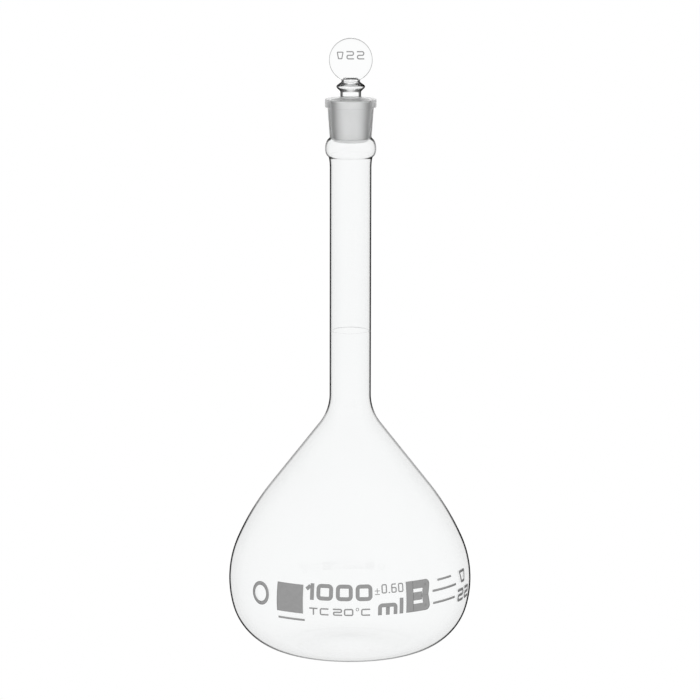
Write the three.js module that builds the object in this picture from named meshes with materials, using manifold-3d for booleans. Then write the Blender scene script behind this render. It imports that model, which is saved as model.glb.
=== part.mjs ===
// A 1000 ml volumetric flask with its ground glass stopper, in millimetres.
// +Z is up, the origin is the centre of the foot and the printed side faces -Y.
// Outlines are lists of [radius, height] points turned about the Z axis.
import * as THREE from "three";
import { TessellateModifier } from "three/addons/modifiers/TessellateModifier.js";
import { mergeVertices } from "three/addons/utils/BufferGeometryUtils.js";
import Module from "manifold-3d";

const wasm = await Module();
wasm.setup();

// ---- Overall sizes ----
const BODY_DIAMETER = 130;
const FLASK_HEIGHT = 296;
const NECK_DIAMETER = 22;
const WALL = 1.4;

// ---- Bulb: a chain of tangent arcs; a heading is 0 outwards, 90 straight up, over 90 inwards ----
const HEEL_RADIUS = 31.9;
const HEEL_HEADING = 74.5;
const BELLY_RADIUS = 53.7;
const BELLY_HEADING = 113.7;
const SHOULDER_RADIUS = 136;
const CONE_HALF_ANGLE = 38.2;
const NECK_ROOT_FILLET = 25.6;
const FOOT_RING_WIDTH = 5;
const FOOT_RISE = 1.8;
const BASE_THICKNESS = 2.2;

// ---- Calibration mark on the neck ----
const MARK_ABOVE_NECK_ROOT = 34.4;
const MARK_WIDTH = 0.5;

// ---- Ground joint: a taper of 1 in 10 on the diameter ----
const JOINT_DIAMETER = 22;
const JOINT_TAPER = 0.1;
const GROUND_LENGTH = 20;
const GROUND_CLEARANCE = 0.15;
const MOUTH_CHAMFER = 0.5;
const MOUTH_DEPTH = 0.8;
const SOCKET_WALL_TOP = 1.4;
const SOCKET_WALL_BOTTOM = 1;

// ---- Bead round the rim ----
const BEAD_RISE = 1.45;
const BEAD_HEIGHT = 4.3;
const BEAD_ROUNDING = 0.6;

// ---- Blown bulge below the ground joint, and the flare that joins it to the neck ----
const BULGE_RISE = 2.2;
const BULGE_LENGTH = 9.6;
const BULGE_WALL = 1.3;
const FLARE_RISE = 0.6;
const FLARE_LENGTH = 6;

// ---- Stopper ----
const PLUG_TIP_LENGTH = 2;
const PLUG_TIP_STEP = 0.2;
const PLUG_TIP_ROUNDING = 1.4;
const PLUG_CROWN_HEIGHT = 1.7;
const STEM_DIAMETER = 10.9;
const STEM_LENGTH = 3.2;
const KNOP_DIAMETER = 15.2;
const KNOP_HEIGHT = 4.9;
const KNOP_FLAT = 1.2;
const WAIST_DIAMETER = 9.7;
const WAIST_LENGTH = 0.8;
const GRIP_DIAMETER = 22.8;
const GRIP_THICKNESS = 4.4;
const GRIP_ROUNDING = 1.2;
const GRIP_OVERLAP = 0.55;
const ROOT_HEIGHT = 1.4;

// ---- Fired enamel figures, placed by arc length from the front and height above the widest girth ----
const ENAMEL_THICKNESS = 0.2;
const ENAMEL_CLEARANCE = 0.1;
const ENAMEL_FACET = 4;
const ENAMEL_SPLITS = 16;
const PATCH_CENTRE = [-33.1, 2.2];
const PATCH_SIZE = [15.8, 15.4];
const DIGIT_HEIGHT = 8.7;
const DIGIT_BASE = 2.4;
const ZERO_WIDTH = 8.9;
const ZERO_PITCH = 10.4;
const FIRST_ZERO = -13.3;
const ONE_CENTRE = -21.2;
const ONE_WIDTH = 4.2;
const FIGURE_STROKE = 2.1;
const FIGURE_CORNER = 2.4;
const FIGURE_INNER_CORNER = 1.2;
const LETTER_BASE = -5.6;
const LETTER_M_LEFT = 14.9;
const LETTER_M_SIZE = [10.7, 6.3];
const LETTER_L_LEFT = 26.9;
const LETTER_L_HEIGHT = 8.5;
const CLASS_LEFT = 30.8;
const CLASS_SIZE = [15.1, 16.6];
const CLASS_STROKE = 4.3;
const CLASS_NOTCH = 1.4;
const COUNTER_CORNER = 0.6;

// ---- Facets ----
const TURN_FACETS = 48;
const GRIP_FACETS = 32;

// ---- Derived places ----
const neckRadius = NECK_DIAMETER / 2;
const jointRadius = JOINT_DIAMETER / 2;
const jointTop = FLASK_HEIGHT - MOUTH_DEPTH;
const jointBottom = jointTop - GROUND_LENGTH;
const jointBottomRadius = jointRadius - (GROUND_LENGTH * JOINT_TAPER) / 2;
const bulgeBottom = jointBottom - BULGE_LENGTH;
const socketBottom = bulgeBottom - FLARE_LENGTH;
const plugCrown = jointTop + PLUG_CROWN_HEIGHT;
const knopBottom = plugCrown + STEM_LENGTH;
const waistBottom = knopBottom + KNOP_HEIGHT;
const waistHeight = waistBottom + WAIST_LENGTH;
const gripCentre = waistHeight + GRIP_DIAMETER / 2 - GRIP_OVERLAP;

const clearGlass = { color: 0xf2f6f6, roughness: 0.05, metalness: 0, transparent: true, opacity: 0.4 };
const groundGlass = { color: 0xd8dada, roughness: 0.7, metalness: 0 };
const enamel = { color: 0x9a9a9a, roughness: 0.6, metalness: 0 };

const flask = new THREE.Group();
const stopper = new THREE.Group();
const part = new THREE.Group();
part.add(flask, stopper);

function addMesh(group, name, geometry, finish) {
  const mesh = new THREE.Mesh(geometry, new THREE.MeshStandardMaterial(finish));
  mesh.name = name;
  group.add(mesh);
}

// The unit step square to a heading, on its outer side.
function outward(heading) {
  const turn = THREE.MathUtils.degToRad(heading);
  return [Math.sin(turn), -Math.cos(turn)];
}

function offset([r, z], [dr, dz], length) {
  return [r + dr * length, z + dz * length];
}

// Points of an arc round a centre, from one heading to another; a hollow arc has its centre outside.
function arc(centre, radius, from, to, steps) {
  const points = [];
  for (let i = 0; i <= steps; i += 1) {
    points.push(offset(centre, outward(from + ((to - from) * i) / steps), radius));
  }
  return points;
}

// Turns a closed outline of [radius, height] points, listed anticlockwise, about the Z axis.
function turned(outline, facets = TURN_FACETS) {
  const start = outline[0];
  const end = outline.at(-1);
  const open = start[0] === 0 && end[0] === 0;
  const points = (open ? outline : [...outline, start]).map(([r, z]) => new THREE.Vector2(r, z));
  const geometry = new THREE.LatheGeometry(points, facets);
  geometry.rotateX(Math.PI / 2);
  return geometry;
}

// ---- Bulb ----
const coneHeading = 90 + CONE_HALF_ANGLE;
const bellyCentreRadius = BODY_DIAMETER / 2 - BELLY_RADIUS;
const footRadius = bellyCentreRadius + (BELLY_RADIUS - HEEL_RADIUS) * outward(HEEL_HEADING)[0];
const heelCentre = [footRadius, HEEL_RADIUS];
const bellyCentre = offset(heelCentre, outward(HEEL_HEADING), HEEL_RADIUS - BELLY_RADIUS);
const shoulderCentre = offset(bellyCentre, outward(BELLY_HEADING), BELLY_RADIUS - SHOULDER_RADIUS);
const shoulderEnd = offset(shoulderCentre, outward(coneHeading), SHOULDER_RADIUS);
const filletCentre = neckRootFilletCentre();
const neckRoot = filletCentre[1];
const girth = bellyCentre[1];

// The cone runs on from the shoulder until it touches the fillet at the foot of the neck.
function neckRootFilletCentre() {
  const [across, up] = outward(coneHeading);
  const centreRadius = neckRadius + NECK_ROOT_FILLET;
  const coneEnd = centreRadius - NECK_ROOT_FILLET * across;
  const coneRise = (shoulderEnd[0] - coneEnd) * (across / up);
  return [centreRadius, shoulderEnd[1] + coneRise + NECK_ROOT_FILLET * up];
}

// The side of the bulb from the foot to the neck, moved inwards by an inset.
function bulbSide(inset) {
  return [
    ...arc(heelCentre, HEEL_RADIUS - inset, 0, HEEL_HEADING, 7),
    ...arc(bellyCentre, BELLY_RADIUS - inset, HEEL_HEADING, BELLY_HEADING, 6).slice(1),
    ...arc(shoulderCentre, SHOULDER_RADIUS - inset, BELLY_HEADING, coneHeading, 3).slice(1),
    ...arc(filletCentre, -(NECK_ROOT_FILLET + inset), coneHeading, 90, 4),
  ];
}

// A shallow raised cap: full rise at the axis, level at its rim, after a squared cosine.
function cap(span, base, rise, steps) {
  const points = [];
  for (let i = 0; i <= steps; i += 1) {
    const share = i / steps;
    points.push([span * share, base + rise * Math.cos((Math.PI / 2) * share) ** 2]);
  }
  return points;
}

function bulb() {
  const underside = cap(footRadius - FOOT_RING_WIDTH, 0, FOOT_RISE, 4);
  const floor = cap(footRadius, WALL, FOOT_RISE + BASE_THICKNESS - WALL, 4);
  const inside = [...floor.slice(0, -1), ...bulbSide(WALL)];
  return turned([...underside, ...bulbSide(0), ...inside.reverse()]);
}

// ---- Neck ----
function neckTube() {
  const bore = neckRadius - WALL;
  return turned([
    [bore, neckRoot],
    [neckRadius, neckRoot],
    [neckRadius, socketBottom],
    [bore, socketBottom],
  ]);
}

function calibrationRing() {
  const low = neckRoot + MARK_ABOVE_NECK_ROOT - MARK_WIDTH / 2;
  const inner = neckRadius + ENAMEL_CLEARANCE;
  const outer = inner + ENAMEL_THICKNESS;
  return turned([
    [inner, low],
    [outer, low],
    [outer, low + MARK_WIDTH],
    [inner, low + MARK_WIDTH],
  ]);
}

// ---- Ground socket with its bead, bulge and flare ----
// Half an ellipse standing on the line between the flare's end and the ground length's end.
function bulge(lowRadius, highRadius) {
  const points = [];
  const steps = 8;
  for (let i = 0; i <= steps; i += 1) {
    const share = (1 - Math.cos((Math.PI * i) / steps)) / 2;
    const chord = THREE.MathUtils.lerp(lowRadius, highRadius, share);
    const stand = BULGE_RISE * Math.sin((Math.PI * i) / steps);
    points.push([chord + stand, bulgeBottom + BULGE_LENGTH * share]);
  }
  return points;
}

// A flare that leaves the neck upright and opens by the square of its height.
function flare(baseRadius, endRadius) {
  const points = [];
  const steps = 4;
  for (let i = 0; i < steps; i += 1) {
    const share = i / steps;
    const radius = THREE.MathUtils.lerp(baseRadius, endRadius, share ** 2);
    points.push([radius, socketBottom + FLARE_LENGTH * share]);
  }
  return points;
}

function jointSocket() {
  const bulgeTop = jointBottomRadius + SOCKET_WALL_BOTTOM;
  const bulgeFoot = bulgeTop + FLARE_RISE;
  const beadBottom = FLASK_HEIGHT - BEAD_HEIGHT;
  const beadShare = (beadBottom - jointBottom) / GROUND_LENGTH;
  const beadRoot = THREE.MathUtils.lerp(bulgeTop, jointRadius + SOCKET_WALL_TOP, beadShare);
  const beadRadius = beadRoot + BEAD_RISE;
  const lowRound = [beadRadius - BEAD_ROUNDING, beadBottom + BEAD_ROUNDING];
  const highRound = [beadRadius - BEAD_ROUNDING, FLASK_HEIGHT - BEAD_ROUNDING];
  const outside = [
    ...flare(neckRadius, bulgeFoot),
    ...bulge(bulgeFoot, bulgeTop),
    [beadRoot, beadBottom],
    ...arc(lowRound, BEAD_ROUNDING, 0, 90, 3),
    ...arc(highRound, BEAD_ROUNDING, 90, 180, 3),
  ];
  const inside = [
    ...flare(neckRadius - WALL, bulgeFoot - BULGE_WALL),
    ...bulge(bulgeFoot - BULGE_WALL, jointBottomRadius),
    [jointRadius, jointTop],
    [jointRadius + MOUTH_CHAMFER, FLASK_HEIGHT],
  ];
  return turned([...outside, ...inside.reverse()]);
}

// ---- Stopper ----
function stopperPlug() {
  const topRadius = jointRadius - GROUND_CLEARANCE;
  const bottomRadius = jointBottomRadius - GROUND_CLEARANCE;
  const tipRadius = bottomRadius - PLUG_TIP_STEP;
  const tipEnd = jointBottom - PLUG_TIP_LENGTH;
  const tipRound = [tipRadius - PLUG_TIP_ROUNDING, tipEnd + PLUG_TIP_ROUNDING];
  return turned([
    [0, tipEnd],
    ...arc(tipRound, PLUG_TIP_ROUNDING, 0, 90, 4),
    [tipRadius, jointBottom - PLUG_TIP_STEP],
    [bottomRadius, jointBottom],
    [topRadius, jointTop],
    [STEM_DIAMETER / 2, plugCrown],
    [0, plugCrown],
  ]);
}

function solidOf(geometry) {
  const bare = geometry.clone();
  bare.deleteAttribute("normal");
  bare.deleteAttribute("uv");
  const merged = mergeVertices(bare, 1e-4);
  return new wasm.Manifold(
    new wasm.Mesh({
      numProp: 3,
      vertProperties: new Float32Array(merged.attributes.position.array),
      triVerts: new Uint32Array(merged.index.array),
    }),
  );
}

function geometryOf(solid) {
  const mesh = solid.getMesh();
  const geometry = new THREE.BufferGeometry();
  geometry.setAttribute("position", new THREE.BufferAttribute(mesh.vertProperties, 3));
  geometry.setIndex(new THREE.BufferAttribute(mesh.triVerts, 1));
  geometry.computeVertexNormals();
  return geometry;
}

// The flat round grip stands on edge, with its two faces looking along Y.
function grip() {
  const half = GRIP_THICKNESS / 2;
  const rim = GRIP_DIAMETER / 2 - GRIP_ROUNDING;
  const geometry = turned(
    [
      [0, -half],
      ...arc([rim, GRIP_ROUNDING - half], GRIP_ROUNDING, 0, 90, 2),
      ...arc([rim, half - GRIP_ROUNDING], GRIP_ROUNDING, 90, 180, 2),
      [0, half],
    ],
    GRIP_FACETS,
  );
  geometry.rotateX(Math.PI / 2);
  geometry.translate(0, 0, gripCentre);
  return geometry;
}

// Stem, double cone knop and waist, then a rounded root that runs up into the grip.
function stem() {
  const knopMiddle = knopBottom + KNOP_HEIGHT / 2;
  const waistRadius = WAIST_DIAMETER / 2;
  const root = [];
  const steps = 4;
  for (let i = 0; i < steps; i += 1) {
    const turn = ((Math.PI / 2) * i) / steps;
    root.push([waistRadius * Math.cos(turn), waistHeight + ROOT_HEIGHT * Math.sin(turn)]);
  }
  return turned([
    [0, plugCrown],
    [STEM_DIAMETER / 2, plugCrown],
    [STEM_DIAMETER / 2, knopBottom],
    [KNOP_DIAMETER / 2, knopMiddle - KNOP_FLAT / 2],
    [KNOP_DIAMETER / 2, knopMiddle + KNOP_FLAT / 2],
    [waistRadius, waistBottom],
    ...root,
    [0, waistHeight + ROOT_HEIGHT],
  ]);
}

function stopperHead() {
  return geometryOf(solidOf(stem()).add(solidOf(grip())));
}

// ---- Fired enamel figures ----
// Lays a flat figure on the bulb: x becomes arc length, y height above the girth, z lift off the glass.
function laidOnBulb(shape, [left, base]) {
  const flat = new THREE.ExtrudeGeometry(shape, {
    depth: ENAMEL_THICKNESS,
    bevelEnabled: false,
    curveSegments: 2,
  });
  flat.translate(left, base, ENAMEL_CLEARANCE);
  flat.deleteAttribute("normal");
  flat.deleteAttribute("uv");
  const geometry = new TessellateModifier(ENAMEL_FACET, ENAMEL_SPLITS).modify(flat);
  const place = geometry.attributes.position;
  for (let i = 0; i < place.count; i += 1) {
    const around = place.getX(i) / (BODY_DIAMETER / 2);
    const rise = Math.asin(place.getY(i) / BELLY_RADIUS);
    const reach = BELLY_RADIUS + place.getZ(i);
    const radius = bellyCentreRadius + reach * Math.cos(rise);
    place.setXYZ(i, radius * Math.sin(around), -radius * Math.cos(around), girth + reach * Math.sin(rise));
  }
  geometry.computeVertexNormals();
  return geometry;
}

// A rectangle with its four corners rounded, drawn anticlockwise on a shape or a hole.
function roundedBox(path, [x, y], [width, height], corner) {
  const right = x + width - corner;
  const top = y + height - corner;
  path.moveTo(x + corner, y);
  path.absarc(right, y + corner, corner, -Math.PI / 2, 0);
  path.absarc(right, top, corner, 0, Math.PI / 2);
  path.absarc(x + corner, top, corner, Math.PI / 2, Math.PI);
  path.absarc(x + corner, y + corner, corner, Math.PI, Math.PI * 1.5);
  return path;
}

function box(width, height) {
  const shape = new THREE.Shape();
  shape.moveTo(0, 0);
  shape.lineTo(width, 0);
  shape.lineTo(width, height);
  shape.lineTo(0, height);
  shape.closePath();
  return shape;
}

function zero() {
  const shape = roundedBox(new THREE.Shape(), [0, 0], [ZERO_WIDTH, DIGIT_HEIGHT], FIGURE_CORNER);
  const inner = [ZERO_WIDTH - 2 * FIGURE_STROKE, DIGIT_HEIGHT - 2 * FIGURE_STROKE];
  const low = [FIGURE_STROKE, FIGURE_STROKE];
  shape.holes.push(roundedBox(new THREE.Path(), low, inner, FIGURE_INNER_CORNER));
  return shape;
}

function one() {
  const stemLeft = ONE_WIDTH - FIGURE_STROKE;
  const shape = new THREE.Shape();
  shape.moveTo(stemLeft, 0);
  shape.lineTo(ONE_WIDTH, 0);
  shape.lineTo(ONE_WIDTH, DIGIT_HEIGHT);
  shape.lineTo(stemLeft, DIGIT_HEIGHT);
  shape.lineTo(0, DIGIT_HEIGHT - FIGURE_STROKE);
  shape.lineTo(0, DIGIT_HEIGHT - 2 * FIGURE_STROKE);
  shape.lineTo(stemLeft, DIGIT_HEIGHT - FIGURE_STROKE);
  shape.closePath();
  return shape;
}

// Three legs under one bar; the bar's far corner is rounded.
function letterM() {
  const [width, height] = LETTER_M_SIZE;
  const middle = (width - FIGURE_STROKE) / 2;
  const under = height - FIGURE_STROKE;
  const shape = new THREE.Shape();
  shape.moveTo(0, 0);
  shape.lineTo(FIGURE_STROKE, 0);
  shape.lineTo(FIGURE_STROKE, under);
  shape.lineTo(middle, under);
  shape.lineTo(middle, 0);
  shape.lineTo(middle + FIGURE_STROKE, 0);
  shape.lineTo(middle + FIGURE_STROKE, under);
  shape.lineTo(width - FIGURE_STROKE, under);
  shape.lineTo(width - FIGURE_STROKE, 0);
  shape.lineTo(width, 0);
  shape.absarc(width - FIGURE_STROKE, under, FIGURE_STROKE, 0, Math.PI / 2);
  shape.lineTo(0, height);
  shape.closePath();
  return shape;
}

// The accuracy class letter: an upright, two rounded bowls and their two counters.
function classLetter() {
  const [width, height] = CLASS_SIZE;
  const counter = [width - 2 * CLASS_STROKE, (height - 3 * CLASS_STROKE) / 2];
  const shape = new THREE.Shape();
  shape.moveTo(0, height / 2);
  shape.lineTo(0, 0);
  shape.absarc(width - CLASS_STROKE, CLASS_STROKE, CLASS_STROKE, -Math.PI / 2, 0);
  shape.lineTo(width - CLASS_NOTCH, height / 2);
  shape.absarc(width - CLASS_STROKE, height - CLASS_STROKE, CLASS_STROKE, 0, Math.PI / 2);
  shape.lineTo(0, height);
  shape.closePath();
  for (const low of [CLASS_STROKE, 2 * CLASS_STROKE + counter[1]]) {
    shape.holes.push(roundedBox(new THREE.Path(), [CLASS_STROKE, low], counter, COUNTER_CORNER));
  }
  return shape;
}

addMesh(flask, "bulb", bulb(), clearGlass);
addMesh(flask, "neck_tube", neckTube(), clearGlass);
addMesh(flask, "joint_socket", jointSocket(), groundGlass);
addMesh(flask, "calibration_ring", calibrationRing(), enamel);
addMesh(stopper, "stopper_plug", stopperPlug(), groundGlass);
addMesh(stopper, "stopper_head", stopperHead(), clearGlass);

const patchCorner = [PATCH_CENTRE[0] - PATCH_SIZE[0] / 2, PATCH_CENTRE[1] - PATCH_SIZE[1] / 2];
addMesh(flask, "enamel_writing_patch", laidOnBulb(box(...PATCH_SIZE), patchCorner), enamel);
addMesh(flask, "enamel_digit_one", laidOnBulb(one(), [ONE_CENTRE - ONE_WIDTH / 2, DIGIT_BASE]), enamel);
["first", "second", "third"].forEach((place, index) => {
  const left = FIRST_ZERO + index * ZERO_PITCH - ZERO_WIDTH / 2;
  addMesh(flask, `enamel_digit_zero_${place}`, laidOnBulb(zero(), [left, DIGIT_BASE]), enamel);
});
const letterL = box(FIGURE_STROKE, LETTER_L_HEIGHT);
addMesh(flask, "enamel_letter_m", laidOnBulb(letterM(), [LETTER_M_LEFT, LETTER_BASE]), enamel);
addMesh(flask, "enamel_letter_l", laidOnBulb(letterL, [LETTER_L_LEFT, LETTER_BASE]), enamel);
addMesh(flask, "enamel_class_letter", laidOnBulb(classLetter(), [CLASS_LEFT, LETTER_BASE]), enamel);

export default part;
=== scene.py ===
# %% [markdown]
# # A volumetric flask in clear glass, ground glass and fired enamel
# The flask measures one volume, 1000 ml, up to a thin ring on its neck. Glass has almost no colour of its
# own: what the eye reads is how each edge bends the light and dark of the room. So this lesson spends its
# care on three things: true smooth surfaces with a real wall thickness, a studio that glows behind the glass
# and is dim elsewhere, and a ground joint that scatters light where the rest lets it pass.
# The measured model from the workshop is the frame. Every new piece takes its place from that frame.

import bpy
import numpy as np
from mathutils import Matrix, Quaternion, Vector


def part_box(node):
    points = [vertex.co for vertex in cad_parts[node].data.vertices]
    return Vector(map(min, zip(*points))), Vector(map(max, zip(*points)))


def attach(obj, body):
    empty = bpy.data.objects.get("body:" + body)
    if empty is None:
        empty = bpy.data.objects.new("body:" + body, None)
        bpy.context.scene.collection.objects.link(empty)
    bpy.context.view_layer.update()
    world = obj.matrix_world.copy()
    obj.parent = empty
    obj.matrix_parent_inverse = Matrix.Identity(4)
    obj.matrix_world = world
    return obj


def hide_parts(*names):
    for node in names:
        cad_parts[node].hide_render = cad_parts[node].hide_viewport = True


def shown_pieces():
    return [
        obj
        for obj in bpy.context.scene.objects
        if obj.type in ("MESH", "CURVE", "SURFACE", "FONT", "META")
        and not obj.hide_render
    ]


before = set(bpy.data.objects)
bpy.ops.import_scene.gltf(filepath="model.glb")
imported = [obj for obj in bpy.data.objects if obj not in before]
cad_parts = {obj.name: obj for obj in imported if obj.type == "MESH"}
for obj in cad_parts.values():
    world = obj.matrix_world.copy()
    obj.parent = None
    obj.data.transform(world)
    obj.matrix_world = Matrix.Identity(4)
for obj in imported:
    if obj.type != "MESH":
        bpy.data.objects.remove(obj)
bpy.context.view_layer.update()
MM = 0.001

# %% [markdown]
# ## Sizes read from the frame
# The measured boxes give the overall sizes: how wide the bulb is, where the neck starts and ends, where the
# ground joint sits. Only the radii of the bends and the glass thickness are written here, in millimetres,
# because a box can't show them.

# %% Sizes
def box_mm(node):
    """Lowest and highest corner of a measured node, in millimetres."""
    low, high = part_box(node)
    return np.array(low) / MM, np.array(high) / MM


bulb_high = box_mm("bulb")[1]
neck_high = box_mm("neck_tube")[1]
socket_low, socket_high = box_mm("joint_socket")
plug_low, plug_high = box_mm("stopper_plug")
head_high = box_mm("stopper_head")[1]
ring_low, ring_high = box_mm("calibration_ring")

BODY_RADIUS = bulb_high[0]
NECK_RADIUS = neck_high[0]
SOCKET_BOTTOM = socket_low[2]
RIM = socket_high[2]
MARK_HEIGHT = (ring_low[2] + ring_high[2]) / 2
WALL = 1.4
print("body", round(2 * BODY_RADIUS, 2), "mm wide, rim at", round(RIM, 2), "mm")
print("ring mark at", round(MARK_HEIGHT, 2), "mm")

# %% [markdown]
# ## Drawing an outline with arcs
# A glassblower's shape is a chain of bends, each one flowing into the next without a corner. An arc is
# written by the direction square to the glass, its heading: 0 points straight down, 90 straight out and 180
# straight up. Two arcs that share a heading where they meet share a tangent too, so the chain is smooth.

# %% Arcs
SAME_POINT = 1e-6


def square_to(heading):
    """Unit steps [outwards, up] square to the glass: the sine of the heading and minus its cosine."""
    turn = np.radians(np.atleast_1d(heading))
    return np.stack([np.sin(turn), -np.cos(turn)], 1)


def arc(centre, radius, start, end, count):
    """Points at one radius from a centre, their headings spaced evenly from start to end."""
    return np.asarray(centre) + radius * square_to(np.linspace(start, end, count))


def line(start, end, count):
    """Points spaced evenly on the straight line from start to end."""
    share = np.linspace(0, 1, count)[:, None]
    return np.asarray(start) * (1 - share) + np.asarray(end) * share


def joined(*runs):
    """One outline from several runs, leaving out a point that repeats the one before it."""
    points = np.concatenate(runs)
    steps = np.linalg.norm(np.diff(points, axis=0), axis=1)
    return points[np.concatenate([[True], steps > SAME_POINT])]


print("a heading of 90 steps", square_to(90)[0].round(3), "outwards and up")

# %% [markdown]
# ## The side of the bulb
# The bulb is blown: heel, belly and shoulder are three bends of growing radius, then a straight cone runs
# into a hollow bend at the foot of the neck. The inner face is the same chain moved in by the wall, which
# keeps every centre and only changes each radius, so the glass has an even wall all the way.

# %% Bulb side
HEEL_RADIUS, HEEL_HEADING = 31.9, 74.5
BELLY_RADIUS, BELLY_HEADING = 53.7, 113.7
SHOULDER_RADIUS = 136
CONE_HEADING = 90 + 38.2
ROOT_FILLET = 25.6

belly_reach = BODY_RADIUS - BELLY_RADIUS
heel_step = (BELLY_RADIUS - HEEL_RADIUS) * square_to(HEEL_HEADING)[0]
foot_radius = belly_reach + heel_step[0]
heel_centre = np.array([foot_radius, HEEL_RADIUS])
belly_centre = heel_centre - heel_step
shoulder_centre = belly_centre + (BELLY_RADIUS - SHOULDER_RADIUS) * square_to(BELLY_HEADING)[0]
root_centre = np.array([NECK_RADIUS + ROOT_FILLET, bulb_high[2]])
girth = belly_centre[1]


def cone_end(radius, centre, inset):
    """Where the shoulder stops bending and the straight cone begins."""
    return centre + (radius - inset) * square_to(CONE_HEADING)[0]


def cone_start(inset):
    """Where the straight cone meets the hollow bend at the foot of the neck."""
    return root_centre - (ROOT_FILLET + inset) * square_to(CONE_HEADING)[0]


def bulb_side(inset):
    """The chain of bends from the foot to the neck, moved into the glass by an inset."""
    return joined(
        arc(heel_centre, HEEL_RADIUS - inset, 0, HEEL_HEADING, count=40),
        arc(belly_centre, BELLY_RADIUS - inset, HEEL_HEADING, BELLY_HEADING, count=32),
        arc(shoulder_centre, SHOULDER_RADIUS - inset, BELLY_HEADING, CONE_HEADING, count=24),
        line(cone_end(SHOULDER_RADIUS, shoulder_centre, inset), cone_start(inset), count=12),
        arc(root_centre, -(ROOT_FILLET + inset), CONE_HEADING, 90, count=24),
    )


print("foot ring", round(2 * foot_radius, 1), "mm across, widest", round(girth, 1), "mm above it")

# %% [markdown]
# ## Foot, neck, bulge and bead
# Under the foot the glass is pushed up a little, so that the flask stands on a ring and not on a point. The
# neck is drawn tube. Under the ground joint the tube swells into a bulge, which keeps the plug's tip free,
# and the mouth ends in a thick bead that takes the knocks. These are the sizes that the boxes can't show.

# %% Foot, bulge and rim sizes
FOOT_RING_WIDTH, FOOT_RISE, BASE_THICKNESS = 5, 1.8, 2.2
MOUTH_DEPTH, GROUND_LENGTH, JOINT_RADIUS, JOINT_SLOPE = 0.8, 20, 11, 0.05
SOCKET_WALL_TOP, SOCKET_WALL_BOTTOM = 1.4, 1.0
BULGE_RISE, BULGE_LENGTH, BULGE_WALL = 2.2, 9.6, 1.3
FLARE_RISE = 0.6
BEAD_HEIGHT, BEAD_ROUNDING, BEAD_GROOVE = 4.3, 0.45, 0.4
MOUTH_ROUNDING = 0.5

joint_top = RIM - MOUTH_DEPTH
joint_bottom = joint_top - GROUND_LENGTH
joint_bottom_radius = JOINT_RADIUS - JOINT_SLOPE * GROUND_LENGTH
bulge_bottom = joint_bottom - BULGE_LENGTH
bead_radius = socket_high[0]
print("ground joint from", round(joint_bottom, 2), "to", round(joint_top, 2), "mm")

# %% [markdown]
# ## Three curves for the outline
# The push-up, the flare and the bulge could be drawn freehand as splines. A formula each is shorter, and it
# says what the glass does: it rises and levels out, it opens slowly, or it swells and comes back.

# %% Cap, flare and bulge
def cap(span, base, rise, count):
    """A raised cap from the axis out to its span: the rise fades as a squared cosine and ends level."""
    share = np.linspace(0, 1, count)
    return np.stack([span * share, base + rise * np.cos(np.pi / 2 * share) ** 2], 1)


def flare(start, end, count=16):
    """Leaves the neck upright and opens with the square of its height."""
    share = np.linspace(0, 1, count)
    height = SOCKET_BOTTOM + (bulge_bottom - SOCKET_BOTTOM) * share
    return np.stack([start + (end - start) * share ** 2, height], 1)


def bulge(low, high, count=40):
    """Half an ellipse standing on the straight line from the flare to the ground joint."""
    turn = np.linspace(0, np.pi, count)
    share = (1 - np.cos(turn)) / 2
    return np.stack([low + (high - low) * share + BULGE_RISE * np.sin(turn),
                     bulge_bottom + BULGE_LENGTH * share], 1)


print("the push-up rises", round(cap(1, 0, FOOT_RISE, 3)[0, 1], 2), "mm on the axis")

# %% [markdown]
# ## Corners that melted
# Where two bends meet in the flame, the corner runs and goes round. A fillet would need a centre for every
# corner. Averaging each point with its neighbours does the same to a whole run at once, as heat does.

# %% Softened corners
HOT_CORNER, HOT_LENGTH = 0.8, 3
POINTS_PER_SPREAD = 2.4
TIE = 1e-9


def softened(points, spread):
    """Rounds the corners of a run: each point becomes the average of its neighbours along the line,
    weighted by a bell curve of the distance, exp(-(distance / spread)^2); the two ends stay."""
    along = np.concatenate([[0], np.cumsum(np.linalg.norm(np.diff(points, axis=0), axis=1))])
    even = np.linspace(0, along[-1], int(POINTS_PER_SPREAD * along[-1] / spread))
    fine = np.stack([np.interp(even, along, points[:, axis]) for axis in (0, 1)], 1)
    gap = (even[:, None] - even[None, :]) / spread
    reach = np.minimum(even, even[-1] - even)[:, None] / spread
    weight = np.exp(-gap ** 2) * (np.abs(gap) <= reach + TIE)
    return (weight @ fine) / weight.sum(1, keepdims=True)


print("corners run over about", HOT_CORNER, "mm")

# %% [markdown]
# ## The socket, outside and inside
# The socket is the one place where the two faces of the glass differ: outside there is a sleeve, a groove
# and a bead, inside there is the ground taper. So each face gets a chain of its own, between the same ends.

# %% Socket outside
def socket_outside():
    """Flare, bulge, tapered sleeve, a small groove and the rounded bead, from the neck up to the rim."""
    low = joint_bottom_radius + SOCKET_WALL_BOTTOM
    bead_bottom = RIM - BEAD_HEIGHT
    slope = (JOINT_RADIUS + SOCKET_WALL_TOP - low) / GROUND_LENGTH

    def sleeve(height):
        """A point on the straight sleeve round the joint."""
        return np.array([low + slope * (height - joint_bottom), height])

    groove = sleeve(bead_bottom) + [BEAD_GROOVE, -BEAD_GROOVE]
    edge = bead_radius - BEAD_ROUNDING
    return joined(
        softened(joined(flare(NECK_RADIUS, low + FLARE_RISE), bulge(low + FLARE_RISE, low),
                        line([low, joint_bottom], sleeve(joint_bottom + HOT_LENGTH), 8)), HOT_CORNER),
        line(sleeve(joint_bottom + HOT_LENGTH), groove - [BEAD_GROOVE, 0], 8),
        arc(groove, -BEAD_GROOVE, 90, 0, 8),
        arc([edge, bead_bottom + BEAD_ROUNDING], BEAD_ROUNDING, 0, 90, 12),
        arc([edge, RIM - BEAD_ROUNDING], BEAD_ROUNDING, 90, 180, 12),
    )


print("the outer face of the socket has", len(socket_outside()), "points")


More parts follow.
